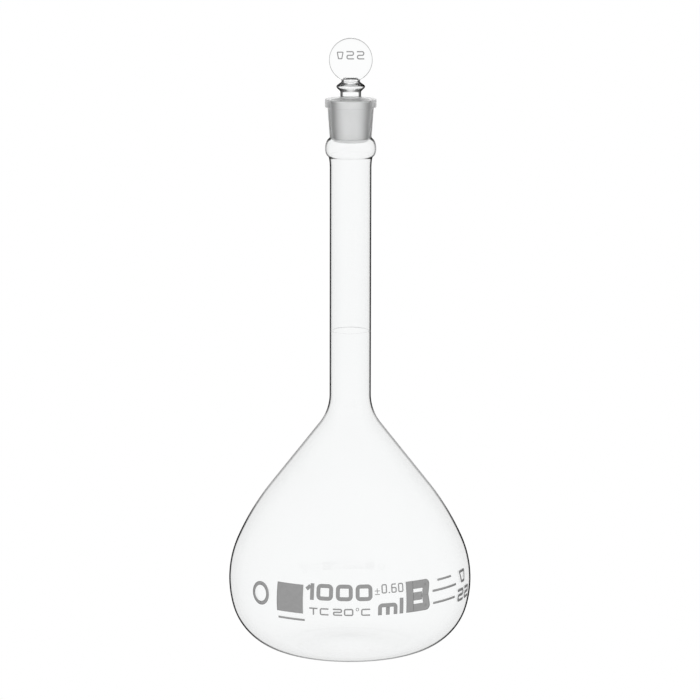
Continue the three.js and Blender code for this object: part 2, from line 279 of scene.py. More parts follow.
# %% Socket inside
def taper(height):
    """A point on the ground taper of the bore."""
    return np.array([joint_bottom_radius + JOINT_SLOPE * (height - joint_bottom), height])


def socket_inside():
    """The same stretch seen from the bore: flare, bulge, ground taper and a softened mouth."""
    low = joint_bottom_radius + SOCKET_WALL_BOTTOM + FLARE_RISE - BULGE_WALL
    mouth = [JOINT_RADIUS + MOUTH_ROUNDING, RIM - MOUTH_ROUNDING]
    return joined(
        softened(joined(flare(NECK_RADIUS - WALL, low), bulge(low, joint_bottom_radius),
                        line([joint_bottom_radius, joint_bottom], taper(joint_bottom + HOT_LENGTH), 8)),
                 HOT_CORNER),
        line(taper(joint_bottom + HOT_LENGTH), [JOINT_RADIUS, joint_top], 16),
        arc(mouth, MOUTH_ROUNDING, 270, 180, 8),
    )


print("the inner face of the socket has", len(socket_inside()), "points")

# %% [markdown]
# ## Once round the glass
# The outer face runs from under the foot up to the rim, and the inner face comes back down to the floor of
# the flask. Joined, they are one closed section, so the wall is real glass with two faces and no gap.

# %% Flask outline
outer = joined(cap(foot_radius - FOOT_RING_WIDTH, 0, FOOT_RISE, 24), bulb_side(0),
               line([NECK_RADIUS, bulb_high[2]], [NECK_RADIUS, SOCKET_BOTTOM], 16), socket_outside())
inner = joined(cap(foot_radius, WALL, FOOT_RISE + BASE_THICKNESS - WALL, 24), bulb_side(WALL),
               line([NECK_RADIUS - WALL, bulb_high[2]], [NECK_RADIUS - WALL, SOCKET_BOTTOM], 16),
               socket_inside())
flask_outline = joined(outer, inner[::-1])
print(len(flask_outline), "points go once round the glass, from under the foot to the floor inside")

# %% [markdown]
# ## From rows of points to a closed mesh
# A turned piece is a grid: rows along the outline, columns round the axis. The first and last rows sit on
# the axis, so each is one point, a pole, joined by triangles. The whole grid is worked out as arrays and
# handed to the mesh in one call. Shading is smooth, as fire-polished glass has no facets.

# %% Grid to mesh
def grid_faces(rows, columns):
    """Corner numbers of the quads between neighbouring rows, wrapping round the columns."""
    row, column = np.meshgrid(np.arange(rows - 1), np.arange(columns), indexing="ij")
    after = (column + 1) % columns
    return np.stack([row * columns + column, row * columns + after,
                     (row + 1) * columns + after, (row + 1) * columns + column], -1).reshape(-1, 4)


def pole_faces(ring, pole, flipped):
    """Triangles from a ring of corner numbers to one pole."""
    after = np.roll(ring, -1)
    order = [after, ring] if flipped else [ring, after]
    return np.stack([*order, np.full(len(ring), pole)], -1)


def mesh_piece(name, points, quads, triangles=()):
    """A mesh object from corner points in millimetres, with its place in its mesh."""
    mesh = bpy.data.meshes.new(name)
    faces = [face for part in (quads, triangles) if len(part) for face in np.asarray(part).tolist()]
    mesh.from_pydata((np.asarray(points) * MM).tolist(), [], faces)
    mesh.shade_smooth()
    mesh.validate()
    piece = bpy.data.objects.new(name, mesh)
    bpy.context.scene.collection.objects.link(piece)
    return piece


def closed_rows(name, rows, first, last):
    """A closed skin from a stack of rings, with a pole below the first ring and one above the last."""
    count, columns = rows.shape[:2]
    points = np.concatenate([rows.reshape(-1, 3), [first, last]])
    ring = np.arange(columns)
    start = pole_faces(ring, len(points) - 2, flipped=True)
    end = pole_faces(ring + (count - 1) * columns, len(points) - 1, flipped=False)
    return mesh_piece(name, points, grid_faces(count, columns), np.concatenate([start, end]))


def turned_piece(name, outline, columns):
    """Carries an outline of [radius, height] points round the axis; its two ends lie on the axis."""
    turn = np.linspace(0, 2 * np.pi, columns, endpoint=False)
    radius, height = outline[1:-1, 0, None], outline[1:-1, 1, None]
    rows = np.stack([radius * np.cos(turn), radius * np.sin(turn), height + 0 * turn], -1)
    return closed_rows(name, rows, [0, 0, outline[0, 1]], [0, 0, outline[-1, 1]])


print("a grid of 3 rows and 8 columns has", len(grid_faces(3, 8)), "quads")

# %% [markdown]
# ## The flask itself
# On the bench, bulb, neck and socket are three blanks that are sealed in the flame until no joint is left.
# One skin is the honest way to show that: light crosses the wall once, with no false surface at the seams.

# %% Flask glass
FLASK_COLUMNS = 192
flask_glass = turned_piece("flask_glass", flask_outline, FLASK_COLUMNS)
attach(flask_glass, "flask")
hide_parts("bulb", "neck_tube", "joint_socket")
print("flask glass", len(flask_glass.data.polygons), "faces")

# %% [markdown]
# ## The stopper
# The stopper starts as a turned plug. Its grip is a flat disc pinched from the hot end, and the two flow
# together over a small hollow. Such a blend is easy to say with distances: take how far a point is from the
# turned stem and from the disc, and where both are small let one fade into the other. Each row then asks,
# in every direction at once, how far out the glass reaches.

# %% Stopper outline
PLUG_CLEARANCE = 0.03
PLUG_TIP_ROUNDING, PLUG_TIP_STEP = 0.7, 0.3
CROWN_FILLET, SOFT_GLASS = 0.5, 0.4
STEM_RADIUS, KNOP_RADIUS, KNOP_ROUNDING, WAIST_RADIUS = 5.45, 7.6, 0.9, 4.85
GRIP_RADIUS = head_high[0]
GRIP_HALF, GRIP_EDGE = 2.2, 0.7
GRIP_BLEND = 0.7
KNOP_HEIGHT, STEM_LENGTH, WAIST_LENGTH = 4.9, 3.2, 0.8

crown = plug_high[2]
tip = plug_low[2]
knop_bottom = crown + STEM_LENGTH
knop_top = knop_bottom + KNOP_HEIGHT
waist = knop_top + WAIST_LENGTH
grip_centre = head_high[2] - GRIP_RADIUS
ROOT_HEIGHT = 1.4


def knop():
    """Two cones that meet in a rounded edge."""
    middle = knop_bottom + KNOP_HEIGHT / 2
    centre = [KNOP_RADIUS - KNOP_ROUNDING, middle]
    lean_low = np.degrees(np.arctan2(KNOP_HEIGHT / 2, KNOP_RADIUS - STEM_RADIUS))
    lean_high = np.degrees(np.arctan2(KNOP_HEIGHT / 2, KNOP_RADIUS - WAIST_RADIUS))
    return joined(
        line([STEM_RADIUS, knop_bottom], centre + KNOP_ROUNDING * square_to(lean_low)[0], 8),
        arc(centre, KNOP_ROUNDING, lean_low, 180 - lean_high, 12),
        line(centre + KNOP_ROUNDING * square_to(180 - lean_high)[0], [WAIST_RADIUS, knop_top], 8),
        line([WAIST_RADIUS, knop_top], [WAIST_RADIUS, waist], 6),
    )


def stopper_outline():
    """Rounded tip, ground taper, sloping crown, stem and knop, from the tip up to the waist."""
    top_radius = JOINT_RADIUS - PLUG_CLEARANCE
    bottom_radius = joint_bottom_radius - PLUG_CLEARANCE
    tip_radius = bottom_radius - PLUG_TIP_STEP
    tip_centre = [tip_radius - PLUG_TIP_ROUNDING, tip + PLUG_TIP_ROUNDING]
    crown_edge = [top_radius - CROWN_FILLET, joint_top + CROWN_FILLET]
    return joined(
        line([0, tip], [tip_centre[0], tip], 12),
        arc(tip_centre, PLUG_TIP_ROUNDING, 0, 90, 12),
        line([tip_radius, joint_bottom - PLUG_TIP_STEP], [bottom_radius, joint_bottom], 3),
        line([bottom_radius, joint_bottom], [top_radius, joint_top], 30),
        line([top_radius, joint_top], crown_edge, 4),
        softened(joined(line(crown_edge, [STEM_RADIUS, crown], 14),
                        line([STEM_RADIUS, crown], [STEM_RADIUS, knop_bottom], 8), knop()), SOFT_GLASS),
    )


print("the stopper turns", len(stopper_outline()), "points up to", round(waist, 1), "mm")

# %% [markdown]
# ## Letting the stem flow into the flat grip
# The distance to a disc on edge is the distance to a flat round slab with softened edges. The distance to
# the root of the stem is the distance to a low round shoulder. A smooth minimum of the two takes the
# smaller one, and near where they are equal it digs in a little, which is the hollow that hot glass leaves.

# %% Grip by distances
def to_grip(x, y, z):
    """Distance to the flat round grip, a slab whose edge is rounded."""
    across = np.hypot(x, z - grip_centre) - (GRIP_RADIUS - GRIP_EDGE)
    through = np.abs(y) - (GRIP_HALF - GRIP_EDGE)
    outside = np.hypot(np.maximum(across, 0), np.maximum(through, 0))
    return outside + np.minimum(np.maximum(across, through), 0) - GRIP_EDGE


def to_root(x, y, z):
    """Distance to the rounded top of the stem, a drum with soft shoulders, close enough near its surface."""
    rise = np.maximum(z - waist, 0) / ROOT_HEIGHT
    stretch = ((x ** 2 + y ** 2) ** 2 / WAIST_RADIUS ** 4 + rise ** 4) ** 0.25
    return (stretch - 1) * WAIST_RADIUS


def smooth_minimum(a, b, blend):
    """The smaller of two distances, lowered by a parabola where they differ by less than the blend."""
    nearness = np.maximum(blend - np.abs(a - b), 0) / blend
    return np.minimum(a, b) - blend * nearness ** 2 / 4


print("the centre of the grip is", round(-float(to_grip(0, 0, grip_centre)), 2), "mm deep in the glass")

# %% [markdown]
# ## Columns that keep to the corners
# A flat slab has four long corners, and a corner between two columns would look sawn. So the columns follow
# the proportions of the slab at every height, and crowd together where its corners are.

# %% Reach of the glass
HALVINGS = 40
REACH_MARGIN = 2


def reach(direction_x, direction_y, height):
    """How far out the head goes in each direction at each height, by halving an interval again and again:
    the half is kept in which the distance changes sign."""
    low = np.zeros(np.broadcast(direction_x, height).shape)
    high = low + GRIP_RADIUS + REACH_MARGIN
    for _ in range(HALVINGS):
        middle = (low + high) / 2
        x, y = middle * direction_x, middle * direction_y
        inside = smooth_minimum(to_grip(x, y, height), to_root(x, y, height), GRIP_BLEND) < 0
        low, high = np.where(inside, middle, low), np.where(inside, high, middle)
    return (low + high) / 2


STOPPER_COLUMNS = 256
CORNER_CROWDING = 0.75
SMALLEST_SQUARE = 1.0


def column_steps(height):
    """Directions [x, y] of the columns at each height. A circle is squeezed to the proportions of the
    grip's section, so its four corners keep their columns from row to row, and the columns crowd there."""
    even = np.linspace(0, 2 * np.pi, STOPPER_COLUMNS, endpoint=False)
    crowded = even + CORNER_CROWDING * np.sin(4 * even) / 4
    half_width = np.sqrt(np.maximum(GRIP_RADIUS ** 2 - (height - grip_centre) ** 2, SMALLEST_SQUARE))
    squeezed = np.arctan2(GRIP_HALF * np.sin(crowded), half_width * np.cos(crowded))
    return np.cos(squeezed), np.sin(squeezed)


print("grip", round(2 * GRIP_RADIUS, 1), "mm across, columns", STOPPER_COLUMNS)

# %% [markdown]
# ## The stopper in one skin
# The turned rows and the grip's rows have the same number of columns, so they stack into one grid with a
# pole at each end. A joined pair of meshes would leave a face inside the glass, and light would show it.

# %% Stopper glass
step_x, step_y = column_steps(waist)
turned_rows = stopper_outline()[1:]
turned_xyz = np.stack([turned_rows[:, :1] * step_x, turned_rows[:, :1] * step_y,
                       turned_rows[:, 1:] + 0 * step_x], -1)

GRIP_ROWS = 150
rise = (1 - np.cos(np.linspace(0, np.pi, GRIP_ROWS + 2)[1:-1])) / 2
grip_top = grip_centre + GRIP_RADIUS
heights = (waist + (grip_top - waist) * rise)[:, None]
step_x, step_y = column_steps(heights)
radii = reach(step_x, step_y, heights)
grip_xyz = np.stack([radii * step_x, radii * step_y, heights + 0 * radii], -1)

stopper_glass = closed_rows("stopper_glass", np.concatenate([turned_xyz, grip_xyz]),
                            [0, 0, tip], [0, 0, grip_top])
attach(stopper_glass, "stopper")
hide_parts("stopper_plug", "stopper_head")
print("stopper glass", len(stopper_glass.data.polygons), "faces")

# %% [markdown]
# ## Strokes of enamel
# The print is ceramic ink fired onto the glass. Every figure here is made of strokes of even width, so a
# stroke is the one tool: a thin flat profile carried along a centre line. Where the line turns, a small arc
# replaces the corner, and the stroke is cut into short steps so that it can follow the curve of the glass.

# %% Stroke tools
STROKE_STEP = 0.5
CORNER_STEPS = 7


def rounded_path(corners, radius, closed):
    """A centre line through corners, each turn replaced by an arc of the given radius."""
    corners = np.asarray(corners, float)
    ahead, behind = np.roll(corners, -1, 0) - corners, np.roll(corners, 1, 0) - corners
    runs = []
    for index, corner in enumerate(corners):
        ends = not closed and index in (0, len(corners) - 1)
        if ends or radius <= 0:
            runs.append(corner[None])
            continue
        forward, backward = ahead[index], behind[index]
        forward = forward / np.linalg.norm(forward)
        backward = backward / np.linalg.norm(backward)
        half = np.arccos(np.clip(forward @ backward, -1, 1)) / 2
        cut = radius / np.tan(half)
        centre = corner + (forward + backward) / np.linalg.norm(forward + backward) * radius / np.sin(half)
        start, end = corner + backward * cut - centre, corner + forward * cut - centre
        sweep = np.arctan2(start[0] * end[1] - start[1] * end[0], start @ end)
        angle = np.arctan2(start[1], start[0]) + np.linspace(0, 1, CORNER_STEPS) * sweep
        runs.append(centre + radius * np.stack([np.cos(angle), np.sin(angle)], 1))
    path = np.concatenate(runs)
    return np.concatenate([path, path[:1]]) if closed else path


def even_steps(path):
    """The same centre line with extra points, so that no step is longer than STROKE_STEP."""
    lengths = np.linalg.norm(np.diff(path, axis=0), axis=1)
    counts = np.maximum(np.ceil(lengths / STROKE_STEP).astype(int), 1)
    which = np.repeat(np.arange(len(lengths)), counts)
    within = np.concatenate([np.arange(count) / count for count in counts])
    points = path[which] + (path[which + 1] - path[which]) * within[:, None]
    return np.concatenate([points, path[-1:]])


def stroke(corners, width, radius=0.0, closed=False):
    """A flat stroke: its centre line and its width, ready to be laid on the glass."""
    path = even_steps(rounded_path(corners, radius, closed))
    if closed:
        path = path[:-1]
        tangent = np.roll(path, -1, 0) - np.roll(path, 1, 0)
    else:
        tangent = np.gradient(path, axis=0)
    tangent = tangent / np.linalg.norm(tangent, axis=1, keepdims=True)
    normal = np.stack([-tangent[:, 1], tangent[:, 0]], 1)
    return {"path": path, "normal": normal, "width": width, "closed": closed}


print("a 10 mm stroke is cut into", len(stroke([(0, 0), (10, 0)], 1)["path"]) - 1, "steps")

# %% [markdown]
# ## The shape of a stroke in section
# Fired ink is a film of a few hundredths of a millimetre that thins out at its edges. The section is a
# row of points over the top and the same row back underneath, sunk just into the glass so that no light
# creeps under it.

# %% Stroke to skin
INK = 0.03
EDGE_SHARE = 0.12


def stroke_skin(part, lay):
    """Carries the section along the stroke; lay puts [along, up, lift] points on the glass."""
    across_count = max(3, int(np.ceil(part["width"] / STROKE_STEP)) + 1)
    share = np.linspace(-0.5, 0.5, across_count)
    lift = INK * np.minimum((0.5 - np.abs(share)) / EDGE_SHARE, 1) ** 0.5
    share, lift = np.concatenate([share, share[::-1]]), np.concatenate([lift, 0 * lift - INK / 2])
    flat = part["path"][:, None, :] + part["normal"][:, None, :] * (share * part["width"])[None, :, None]
    raised = np.broadcast_to(lift, flat.shape[:2])
    points = lay(np.concatenate([flat, raised[..., None]], -1))
    rows, columns = points.shape[:2]
    quads = grid_faces(rows + 1, columns) % (rows * columns) if part["closed"] else grid_faces(rows, columns)
    if not part["closed"]:
        left = np.arange(across_count - 1)
        right = columns - 1 - left
        lid = np.stack([left, right, right - 1, left + 1], -1)
        quads = np.concatenate([quads, lid, lid[:, ::-1] + (rows - 1) * columns])
    return points.reshape(-1, 3), quads


print("the ink stands", INK, "mm off the glass")

# %% [markdown]
# ## A piece of print, and the curve it lies on
# Several strokes make one figure and so one piece. The bulb is curved both ways, and its belly is an arc,
# so arc length round and arc length up put a flat drawing on it with hardly any stretch.

# %% Laying the print
def enamel_piece(name, parts, lay, body, *nodes):
    """One piece of print from several strokes."""
    points, quads, start = [], [], 0
    for part in parts:
        some_points, some_quads = stroke_skin(part, lay)
        points.append(some_points)
        quads.append(some_quads + start)
        start += len(some_points)
    piece = mesh_piece(name, np.concatenate(points), np.concatenate(quads))
    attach(piece, body)
    if nodes:
        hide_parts(*nodes)
    return piece


def on_bulb(flat):
    """Lays points on the bulb: across is arc length from the front, up is arc length from the girth."""
    around = flat[..., 0] / BODY_RADIUS
    climb = flat[..., 1] / BELLY_RADIUS
    out = BELLY_RADIUS + flat[..., 2]
    radius = belly_reach + out * np.cos(climb)
    return np.stack([radius * np.sin(around), -radius * np.cos(around), girth + out * np.sin(climb)], -1)


print("the front of the belly is at", on_bulb(np.zeros(3)).round(2), "mm")

# %% [markdown]
# ## Drawing the figures
# Each figure is a function of its left edge, its foot, its width, its height and the width of its stroke.
# The figures are square in character, as a stencil for a round surface often is. In the code the width is
# w, the height h, the width of the stroke s and the rounding of the corners r.

# %% Digits
def moved(corners, left, foot):
    """The corners, shifted to the left edge and the foot of the figure."""
    return np.asarray(corners, float) + [left, foot]


def zero(left, foot, w, h, s, r):
    """A closed stroke round a rectangle, half a stroke inside its edges."""
    corners = [(s / 2, s / 2), (w - s / 2, s / 2), (w - s / 2, h - s / 2), (s / 2, h - s / 2)]
    return [stroke(moved(corners, left, foot), s, r, closed=True)]


FLAG_LOW, FLAG_HIGH, FLAG_WIDTH = 1.55, 0.62, 0.95


def one(left, foot, w, h, s, r):
    """An upright at the right edge, and a flag that falls from it to the left edge."""
    flag = [(0, h - FLAG_LOW * s), (w - s, h - FLAG_HIGH * s)]
    stem = [(w - s / 2, 0), (w - s / 2, h)]
    return [stroke(moved(stem, left, foot), s), stroke(moved(flag, left, foot), FLAG_WIDTH * s)]


def two(left, foot, w, h, s, r):
    """One stroke: along the top, down the right to half height, back across, down the left, along."""
    corners = [(0, h - s / 2), (w - s / 2, h - s / 2), (w - s / 2, h / 2), (s / 2, h / 2),
               (s / 2, s / 2), (w, s / 2)]
    return [stroke(moved(corners, left, foot), s, r)]


SIX_BAR = 0.56


def six(left, foot, w, h, s, r):
    """One stroke from the top right, round the left and the foot, and back across below the middle."""
    across = SIX_BAR * h
    corners = [(w - s / 2, h - s / 2), (s / 2, h - s / 2), (s / 2, s / 2), (w - s / 2, s / 2),
               (w - s / 2, across), (s, across)]
    return [stroke(moved(corners, left, foot), s, r)]


print("a zero is one stroke of", len(zero(0, 0, 9, 9, 2, 1.5)[0]["path"]), "steps")


# %% Letters
def letter_c(left, foot, w, h, s, r):
    """One stroke: along the top, down the left and along the foot."""
    corners = [(w, h - s / 2), (s / 2, h - s / 2), (s / 2, s / 2), (w, s / 2)]
    return [stroke(moved(corners, left, foot), s, r)]


def letter_t(left, foot, w, h, s, r):
    """A bar along the top and an upright below its middle."""
    return [stroke(moved([(0, h - s / 2), (w, h - s / 2)], left, foot), s),
            stroke(moved([(w / 2, 0), (w / 2, h - s)], left, foot), s)]


def letter_m(left, foot, w, h, s, r):
    """A square arch and an upright below its middle."""
    arch = [(s / 2, 0), (s / 2, h - s / 2), (w - s / 2, h - s / 2), (w - s / 2, 0)]
    return [stroke(moved(arch, left, foot), s, r),
            stroke(moved([(w / 2, 0), (w / 2, h - s)], left, foot), s)]


def bar(left, foot, w, h):
    """A filled rectangle: one stroke as wide as the rectangle is high."""
    return [stroke([(left, foot + h / 2), (left + w, foot + h / 2)], h)]


print("letters and bars are made of strokes", STROKE_STEP, "mm long or less")


# %% Signs
def plus_minus(left, foot, w, h, s):
    """A bar at the foot, a second bar above it, and an arm up and an arm down from the second."""
    arm = (w - s) / 2
    plus = foot + h - w / 2
    return [*bar(left, foot, w, s), *bar(left, plus - s / 2, w, s),
            stroke([(left + w / 2, plus + s / 2), (left + w / 2, plus + s / 2 + arm)], s),
            stroke([(left + w / 2, plus - s / 2 - arm), (left + w / 2, plus - s / 2)], s)]


BOWL_NOTCH, BOWL_ROUNDING = 1.2, 0.3


def class_letter(left, foot, w, h, s):
    """A square spine with two bowls; the right side is notched in at half height."""
    bowls = [(s, s / 2), (w - s / 2, s / 2), (w - s / 2 - BOWL_NOTCH, h / 2), (w - s / 2, h - s / 2),
             (s, h - s / 2)]
    return [*bar(left, foot, s, h), stroke(moved(bowls, left, foot), s, BOWL_ROUNDING),
            *bar(left + s, foot + h / 2 - s / 2, w - 2 * s - BOWL_NOTCH, s)]


SIGN_LEAN, SIGN_ROUNDING = 0.18, 0.2


def taper_sign(left, foot, w, h, s):
    """A plain sign for a tapered joint: a short cone seen from the side."""
    lean = SIGN_LEAN * w
    corners = [(s / 2 + lean, s / 2), (w - s / 2 - lean, s / 2), (w - s / 2, h - s / 2),
               (s / 2, h - s / 2)]
    return [stroke(moved(corners, left, foot), s, SIGN_ROUNDING, closed=True)]


print("the cone sign leans in by", SIGN_LEAN, "of its width on each side")

# %% [markdown]
# ## The print on the front of the bulb
# The large figures stand for measured nodes and take over their places. They sit on two lines, measured up
# from the widest height of the bulb.

# %% Large figures
UPPER_LINE, LOWER_LINE = 2.4, -5.6
FIGURE = {"h": 8.7, "s": 2.1, "r": 1.5}
ZERO_LEFTS = {"first": -17.75, "second": -7.35, "third": 3.05}
enamel_piece("writing_patch", bar(-41.0, -5.5, w=15.8, h=15.4), on_bulb, "flask", "enamel_writing_patch")
enamel_piece("figure_one", one(-23.3, UPPER_LINE, w=4.2, **FIGURE), on_bulb, "flask", "enamel_digit_one")
for place, left in ZERO_LEFTS.items():
    enamel_piece(f"figure_zero_{place}", zero(left, UPPER_LINE, w=8.9, **FIGURE), on_bulb, "flask",
                 f"enamel_digit_zero_{place}")
enamel_piece("letter_m", letter_m(14.9, LOWER_LINE, w=10.7, h=6.3, s=2.1, r=1.2), on_bulb, "flask",
             "enamel_letter_m")
enamel_piece("letter_l", bar(26.9, LOWER_LINE, w=2.1, h=8.5), on_bulb, "flask",
             "enamel_letter_l")
enamel_piece("class_letter", class_letter(30.8, LOWER_LINE, w=15.1, h=16.6, s=4.3), on_bulb, "flask",
             "enamel_class_letter")
print("large figures are", FIGURE["h"], "mm high")

# %% [markdown]
# ## The small print
# The small print is added here: tolerance, temperature and joint size. Where a maker would put a name, a
# plain ring and plain lines keep the balance of the print.

# %% Small print
SMALL = {"h": 3.9, "s": 0.75, "r": 0.7}
TOLERANCE = {"h": 4.9, "s": 0.65, "r": 0.6}
SIZE = {"h": 7.0, "s": 1.5, "r": 0.8}
enamel_piece("tolerance_print", [
    *plus_minus(13.2, 5.4, w=2.7, h=3.4, s=0.4), *zero(16.9, 5.9, w=3.0, **TOLERANCE),
    *bar(20.8, 5.9, w=0.7, h=0.7),
    *six(22.3, 5.9, w=3.0, **TOLERANCE), *zero(26.2, 5.9, w=3.0, **TOLERANCE),
], on_bulb, "flask")
enamel_piece("temperature_print", [
    *letter_t(-21.6, LOWER_LINE, w=4.5, **SMALL), *letter_c(-15.9, LOWER_LINE, w=4.7, **SMALL),
    *two(-8.9, LOWER_LINE, w=4.9, **SMALL), *zero(-3.1, LOWER_LINE, w=5.0, **SMALL),
    *zero(3.1, -3.0, w=1.8, h=1.8, s=0.35, r=0.7), *letter_c(5.9, LOWER_LINE, w=4.8, **SMALL),
], on_bulb, "flask")
enamel_piece("joint_size_print", [
    *taper_sign(73.0, 3.2, w=8.0, h=6.8, s=1.4),
    *two(70.2, -6.6, w=7.4, **SIZE), *two(79.2, -6.6, w=7.4, **SIZE),
], on_bulb, "flask")
enamel_piece("note_lines", [
    *bar(52.0, 8.6, w=12.0, h=1.1), *bar(47.8, 3.3, w=20.4, h=1.2),
    *bar(48.2, -3.3, w=18.6, h=1.2), *bar(-40.4, -9.6, w=16.0, h=1.1),
], on_bulb, "flask")
enamel_piece("blank_ring", zero(-59.0, -4.4, w=12.6, h=12.6, s=2.0, r=5.29), on_bulb, "flask")
print("small print is", SMALL["h"], "mm high, the joint size", SIZE["h"], "mm")

# %% [markdown]
# ## The ring mark and the size on the grip
# The mark that measures the volume is a hair line all round the neck. The same stroke tool draws it, laid
# on a cylinder. The joint size is repeated on the flat grip, so that a stopper finds its own flask.

# %% Ring mark
def on_neck(flat):
    """Lays points on the neck: across is arc length from the front, up is height above the mark."""
    around = flat[..., 0] / NECK_RADIUS
    radius = NECK_RADIUS + flat[..., 2]
    return np.stack([radius * np.sin(around), -radius * np.cos(around), MARK_HEIGHT + flat[..., 1]], -1)


def laid_on_grip(flat):
    """Lays points on the front face of the grip, measured from its centre."""
    return np.stack([flat[..., 0], -(GRIP_HALF + flat[..., 2]), grip_centre + flat[..., 1]], -1)


MARK_WIDTH = 0.18
half_girth = np.pi * NECK_RADIUS
circle = {**stroke([(-half_girth, 0), (half_girth, 0)], MARK_WIDTH), "closed": True}
circle["path"], circle["normal"] = circle["path"][:-1], circle["normal"][:-1]
ring_mark = enamel_piece("ring_mark", [circle], on_neck, "flask", "calibration_ring")

GRIP_SIZE = {"h": 4.4, "s": 0.62, "r": 0.8}
enamel_piece("grip_size_print", [
    *two(-2.3, 0.4, w=4.0, **GRIP_SIZE), *two(3.2, 0.4, w=3.9, **GRIP_SIZE),
    *taper_sign(-7.4, 0.5, w=3.6, h=4.0, s=0.55),
], laid_on_grip, "stopper")
print("ring mark", MARK_WIDTH, "mm wide,", len(ring_mark.data.polygons), "faces")

# %% [markdown]
# ## Glass that is nearly nothing
# Clear glass is all bending and mirror: the index of refraction does the work. Still, drawn and blown glass
# is never perfect, so one group gives a slow unevenness, and each material decides what to do with it.

# %% Shared unevenness
def unevenness_group():
    """Two layers of noise, a slow one and a fine one, mixed into one value from 0 to 1."""
    group = bpy.data.node_groups.new("Unevenness", "ShaderNodeTree")
    for name, value in (("Slow scale", 30.0), ("Fine scale", 600.0), ("Fine share", 0.3)):
        socket = group.interface.new_socket(name, in_out="INPUT", socket_type="NodeSocketFloat")
        socket.default_value = value
    group.interface.new_socket("Stretch", in_out="INPUT", socket_type="NodeSocketVector")
    group.interface.new_socket("Value", in_out="OUTPUT", socket_type="NodeSocketFloat")
    given, out = group.nodes.new("NodeGroupInput"), group.nodes.new("NodeGroupOutput")
    place = group.nodes.new("ShaderNodeTexCoord")
    stretch = group.nodes.new("ShaderNodeVectorMath")
    stretch.operation = "MULTIPLY"
    group.links.new(place.outputs["Object"], stretch.inputs[0])
    group.links.new(given.outputs["Stretch"], stretch.inputs[1])
    layers = []
    for scale in ("Slow scale", "Fine scale"):
        noise = group.nodes.new("ShaderNodeTexNoise")
        group.links.new(stretch.outputs[0], noise.inputs["Vector"])
        group.links.new(given.outputs[scale], noise.inputs["Scale"])
        layers.append(noise.outputs["Fac"])
    mix = group.nodes.new("ShaderNodeMix")
    group.links.new(given.outputs["Fine share"], mix.inputs["Factor"])
    group.links.new(layers[0], mix.inputs["A"])
    group.links.new(layers[1], mix.inputs["B"])
    group.links.new(mix.outputs["Result"], out.inputs["Value"])
    return group


UNEVENNESS = unevenness_group()
print("shared group", UNEVENNESS.name, "has", len(UNEVENNESS.nodes), "nodes")

# %% [markdown]
# ## Small helpers for materials
# Each finish below needs the same few steps: place the shared group, spread its value over a range, blend
# two colours by it, or turn it into a bump. Written once, they keep every material short.

# %% Material helpers
NOISE_LOW, NOISE_HIGH = 0.3, 0.7


def new_material(name):
    """A material with its Principled shader, and the helpers that add a node and a link to it."""
    material = bpy.data.materials.new(name)
    material.use_nodes = True
    shader = material.node_tree.nodes["Principled BSDF"]
    return material, shader, material.node_tree.nodes.new, material.node_tree.links.new


def add_unevenness(new, slow, fine, share, stretch=(1, 1, 1)):
    """Places the shared group with this material's own values."""
    node = new("ShaderNodeGroup")
    node.node_tree = UNEVENNESS
    node.inputs["Slow scale"].default_value = slow
    node.inputs["Fine scale"].default_value = fine
    node.inputs["Fine share"].default_value = share
    node.inputs["Stretch"].default_value = stretch
    return node.outputs["Value"]


def ranged(new, link, value, low, high):
    """Spreads noise, which keeps mostly between NOISE_LOW and NOISE_HIGH, between two numbers."""
    node = new("ShaderNodeMapRange")
    ends = {"From Min": NOISE_LOW, "From Max": NOISE_HIGH, "To Min": low, "To Max": high}
    for name, number in ends.items():
        node.inputs[name].default_value = number
    link(value, node.inputs["Value"])
    return node.outputs["Result"]


def tinted(new, link, value, low, high):
    """Blends two colours by noise."""
    node = new("ShaderNodeMix")
    node.data_type = "RGBA"
    node.inputs["A"].default_value, node.inputs["B"].default_value = low, high
    link(ranged(new, link, value, 0, 1), node.inputs["Factor"])
    return node.outputs["Result"]


def bumped(new, link, height, depth, strength):
    """A bump of a given depth in metres."""
    node = new("ShaderNodeBump")
    node.inputs["Distance"].default_value = depth
    node.inputs["Strength"].default_value = strength
    link(height, node.inputs["Height"])
    return node.outputs["Normal"]


print("noise is read from", NOISE_LOW, "to", NOISE_HIGH)

# %% [markdown]
# ## The painted dark line at the edge of glass
# Hold a glass against a bright wall and its outline is drawn in dark: there the light has to turn so far
# that it comes from the unlit room. Here that dark line is painted shade. How wide it is depends on the
# glass.
# A thin wall keeps it narrow, a solid stem turns light much more and has a broad one. So each material gets
# the depth from the visible outline, the radius times one minus the sine of the viewing angle, and paints
# shade where that depth is small.

# %% Node arithmetic
def arithmetic(new, link):
    """A helper that adds one arithmetic node at a time."""
    def calculate(operation, *values):
        """The result of one operation on sockets or plain numbers."""
        node = new("ShaderNodeMath")
        node.operation = operation
        for socket, value in zip(node.inputs, values):
            if isinstance(value, bpy.types.NodeSocket):
                link(value, socket)
            else:
                socket.default_value = value
        return node.outputs[0]
    return calculate


def eased(new, link, value, start, end, low, high):
    """Goes from low to high with a soft start and end while the value goes from start to end."""
    node = new("ShaderNodeMapRange")
    node.interpolation_type = "SMOOTHSTEP"
    for name, number in (("From Min", start), ("From Max", end), ("To Min", low), ("To Max", high)):
        node.inputs[name].default_value = number
    link(value, node.inputs["Value"])
    return node.outputs["Result"]


def squareness(new, link):
    """The cosine of the viewing angle: 1 where the glass faces the eye and 0 on its outline."""
    weight = new("ShaderNodeLayerWeight")
    weight.inputs["Blend"].default_value = 0.5
    return arithmetic(new, link)("SUBTRACT", 1.0, weight.outputs["Facing"])


print("depth from the outline: 0 on it,", round(NECK_RADIUS, 2), "mm in the middle of the neck")
